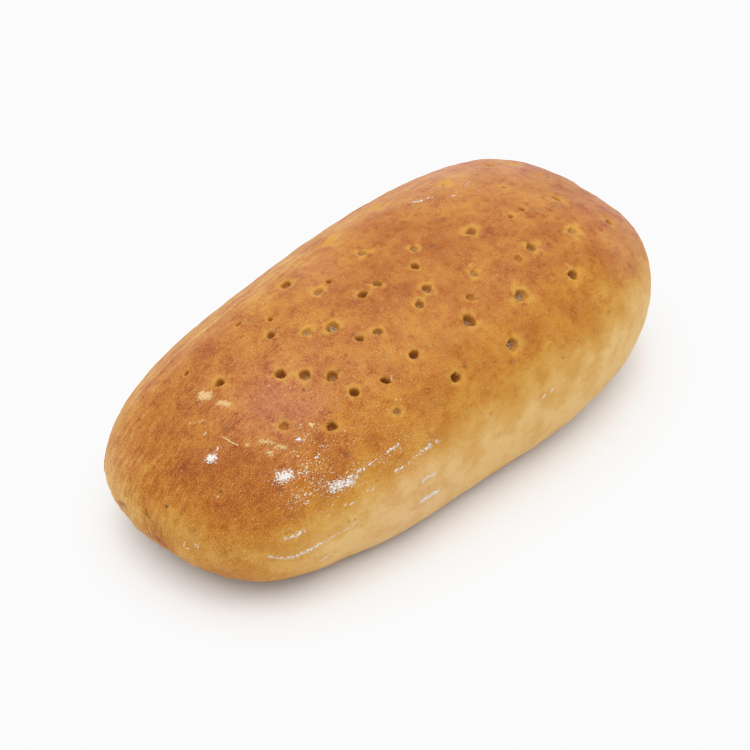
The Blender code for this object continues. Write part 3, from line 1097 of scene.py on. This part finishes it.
def baked_colour_and_painted_light(tree, place, fine, streaks):
    """The colour that the oven gave, with mottling, mealy spots, streaks, grain, greyer parts and
    smudges. The browning that it reads also holds painted sheen, paler on the far slope, and painted
    shade, darker low on the tucked end. The greyer parts are partly painted sheen."""
    mottling = span(tree, noise_of(tree, place, 70, 3, 0.55), 0.3, 0.7, -0.17, 0.17)
    browning_with_painted_light = added(tree, mask_of(tree, "browning_with_painted_light"), mottling)
    mealy = span(tree, noise_of(tree, place, 190, 3, 0.75), 0.45, 0.8, -0.06, 0.42)
    browning_with_painted_light = added(tree, browning_with_painted_light, masked(tree, mealy, "mealy"))
    for pattern, most, where in ((streaks, 0.3, "streaked"), (fine, 0.2, "grain")):
        paler = span(tree, pattern, 0.3, 0.7, most, -most)
        browning_with_painted_light = added(tree, browning_with_painted_light, masked(tree, paler, where))
    colour = shades_of(tree, browning_with_painted_light, BAKED)
    for how, peak in (("ADD", 0.7), ("SUBTRACT", 0.3)):
        share = masked(tree, span(tree, fine, 0.5, peak), "grain")
        colour = mixed(tree, share, colour, GRAINED, how)
    # the greyer tint: partly the crust's own, partly painted sheen
    colour = mixed(tree, mask_of(tree, "greyness_and_sheen"), colour, GREY_AND_SHEEN_TINT, "ADD")
    smudges = span(tree, noise_of(tree, place, 110, 1, 0.5), 0.58, 0.74, 0, 0.28)
    return mixed(tree, masked(tree, smudges, "mealy"), colour, SMUDGE)


def with_underside(tree, place, colour):
    """The base: patches that baked darker, and the flour that it stood on."""
    darker = span(tree, noise_of(tree, place, 55, 4, 0.65), 0.38, 0.62)
    base = mixed(tree, darker, UNDERSIDE, UNDERSIDE_DARK)
    floury = span(tree, noise_of(tree, place, 380, 4, 0.75), 0.5, 0.72, 0, 0.75)
    base = mixed(tree, floury, base, DUST)
    return mixed(tree, masked(tree, 0.9, "underside"), colour, base)


def with_holes(tree, place, colour):
    """The holes' browned walls and the torn crumb at their bottoms."""
    wall = mixed(tree, 0.85, colour, SCORCHED)
    strands = noise_of(tree, place, 1000, 2, 0.6)
    crumb = mixed(tree, span(tree, strands, 0.38, 0.62), CRUMB_DARK, CRUMB)
    bottom = mixed(tree, mask_of(tree, "crumb"), wall, crumb)
    colour = mixed(tree, mask_of(tree, "wall"), colour, wall)
    return mixed(tree, mask_of(tree, "bottom"), colour, bottom)


def with_marks(tree, place, colour, flecks):
    """The painted shade in the creases, the specks and the small flecks."""
    # painted shade in the creases
    colour = mixed(tree, masked(tree, 0.6, "crease_shade"), colour, PAINTED_CREASE_SHADE)
    colour = mixed(tree, masked(tree, 0.9, "speck"), colour, SPECK)
    for scale, level, most, tint, where in FLECKS:
        inputs = {"Place": place, "Scale": scale, "Level": level, "Stretch": FLECK_STRETCH}
        strewn = add(tree, "Group", inputs, node_tree=flecks).outputs["Flecks"]
        share = masked(tree, scaled(tree, strewn, most), where)
        colour = mixed(tree, share, colour, tint)
    return colour


def with_powder(tree, place, colour):
    """Flour dust, dried dough and flour, each broken up by a fine powder. Gives the colour
    and where the flour lies."""
    along = stretched(tree, place, (0.6, 1, 1))
    powder = noise_of(tree, along, 1500, 2, 0.7)
    broken = span(tree, powder, 0.25, 0.75, -0.55, 0.55)
    drifts = span(tree, noise_of(tree, along, 160, 3, 0.6), 0.35, 0.65, 0, 2)
    dust = added(tree, masked(tree, drifts, "dust"), broken)
    colour = mixed(tree, scaled(tree, span(tree, dust, 0.45, 0.65), 0.9), colour, DUST)
    dough = added(tree, mask_of(tree, "dough"), span(tree, powder, 0.25, 0.75, -0.4, 0.4))
    colour = mixed(tree, span(tree, dough, 0.45, 0.8, 0, 0.9), colour, DOUGH)
    flour = span(tree, added(tree, mask_of(tree, "flour"), broken), 0.5, 0.75)
    return mixed(tree, flour, colour, FLOUR), flour


def new_material(name):
    material = bpy.data.materials.new(name)
    material.use_nodes = True
    tree = material.node_tree
    return material, tree, tree.nodes["Principled BSDF"]


def crust_material(grain, flecks):
    material, tree, shader = new_material("baked_crust")
    place = add(tree, "TexCoord").outputs["Object"]
    drawn = add(tree, "Attribute", attribute_name="drawn", attribute_type="GEOMETRY")
    inputs = {"Place": place, "Drawn": drawn.outputs["Vector"], "Fineness": CRUST_FINENESS}
    crust_grain = add(tree, "Group", inputs, node_tree=grain)
    fine, streaks = crust_grain.outputs["Grain"], crust_grain.outputs["Streaks"]

    colour = baked_colour_and_painted_light(tree, place, fine, streaks)
    halo = masked(tree, span(tree, fine, 0.3, 0.7, 0.55, 1), "halo")
    colour = mixed(tree, halo, colour, AMBER)
    colour = with_underside(tree, place, colour)
    colour = with_holes(tree, place, colour)
    colour = with_marks(tree, place, colour, flecks)
    colour, flour = with_powder(tree, place, colour)

    dull = sums(tree, "MAXIMUM", flour, mask_of(tree, "wall"))
    dull = sums(tree, "MAXIMUM", dull, mask_of(tree, "underside"))
    rough = span(tree, mask_of(tree, "browning_with_painted_light"), 0.3, 1.2, 0.62, 0.46)
    rough = added(tree, rough, span(tree, fine, 0.2, 0.8, -0.08, 0.08))
    rough = added(tree, rough, scaled(tree, dull, 0.4))

    height = added(tree, scaled(tree, fine, 0.22), scaled(tree, streaks, 0.5))
    height = added(tree, height, scaled(tree, flour, 0.12))
    bump = add(tree, "Bump", {"Height": height, "Strength": 0.9, "Distance": 0.7 * MM})
    plug(tree, shader, {
        "Base Color": colour,
        "Roughness": rough,
        "Specular IOR Level": 0.12,
        "Sheen Weight": 0.02,
        "Sheen Roughness": 0.35,
        "Normal": bump.outputs["Normal"],
    })
    return material


# The bits' finishes: dark and light colour, fineness of the grain
BIT_FINISHES = {
    "dough": ((0.36, 0.2, 0.08, 1), (0.64, 0.46, 0.26, 1), 1400),
    "straw": ((0.46, 0.25, 0.09, 1), (0.7, 0.48, 0.23, 1), 900),
}


def bit_material(kind, grain):
    dark, light, fineness = BIT_FINISHES[kind]
    material, tree, shader = new_material("dried_" + kind)
    place = add(tree, "TexCoord").outputs["Object"]
    inputs = {"Place": place, "Drawn": place, "Fineness": fineness}
    fine = add(tree, "Group", inputs, node_tree=grain).outputs["Grain"]
    bump = add(tree, "Bump", {"Height": fine, "Strength": 0.6, "Distance": 0.3 * MM})
    plug(tree, shader, {
        "Base Color": mixed(tree, span(tree, fine, 0.3, 0.65), dark, light),
        "Roughness": span(tree, fine, 0.2, 0.8, 0.75, 0.95),
        "Specular IOR Level": 0.15,
        "Normal": bump.outputs["Normal"],
    })
    return material


# ---- The studio ----


def make_floor():
    bpy.ops.mesh.primitive_plane_add(size=FLOOR_SIZE)
    floor = bpy.context.active_object
    floor.name = "floor"
    material, tree, shader = new_material("pale_floor")
    shade = (FLOOR_SHADE, FLOOR_SHADE, FLOOR_SHADE, 1)
    plug(tree, shader, {"Base Color": shade, "Roughness": 0.8, "Specular IOR Level": 0.1})
    floor.data.materials.append(material)


def make_light():
    world = bpy.data.worlds.new("soft_room")
    world.use_nodes = True
    tree = world.node_tree
    plug(tree, tree.nodes["Background"], {"Color": (1, 1, 1, 1), "Strength": ROOM_LIGHT})
    bpy.context.scene.world = world
    bpy.ops.object.light_add(type="AREA", location=LAMP_PLACE)
    lamp = bpy.context.active_object
    lamp.data.size = LAMP_SIZE
    lamp.data.energy = LAMP_WATTS


def soften_whites():
    """The bright floor levels off just below white, as it does in a photograph."""
    view = bpy.context.scene.view_settings
    view.view_transform = "Standard"
    view.use_curve_mapping = True
    tones = view.curve_mapping
    tones.clip_max_x = tones.clip_max_y = WHITES[-1][0]
    curve = tones.curves[3]
    curve.points[1].location = WHITES[-1]
    for light, shown in WHITES[:-1]:
        curve.points.new(light, shown)
    tones.update()


def make_camera():
    turn, rise = math.radians(CAMERA_AZIMUTH), math.radians(CAMERA_ELEVATION)
    back = Vector((math.sin(turn) * math.cos(rise), -math.cos(turn) * math.cos(rise), math.sin(rise)))
    data = bpy.data.cameras.new("camera")
    data.lens = CAMERA_LENS
    camera = bpy.data.objects.new("camera", data)
    camera.location = Vector(CAMERA_TARGET_MM) * MM + back * CAMERA_DISTANCE
    camera.rotation_mode = "QUATERNION"
    camera.rotation_quaternion = (-back).to_track_quat("-Z", "Y")
    link(camera)
    bpy.context.scene.camera = camera


make_camera()
soften_whites()
make_light()
make_floor()
grain = grain_group()
crust = make_crust()
crust.data.materials.append(crust_material(grain, flecks_group()))
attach(crust, "root")
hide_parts("loaf")
finishes = {kind: bit_material(kind, grain) for kind in BIT_FINISHES}
for kind, bit in stick_bits(crust):
    bit.data.materials.append(finishes[kind])
    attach(bit, "root")
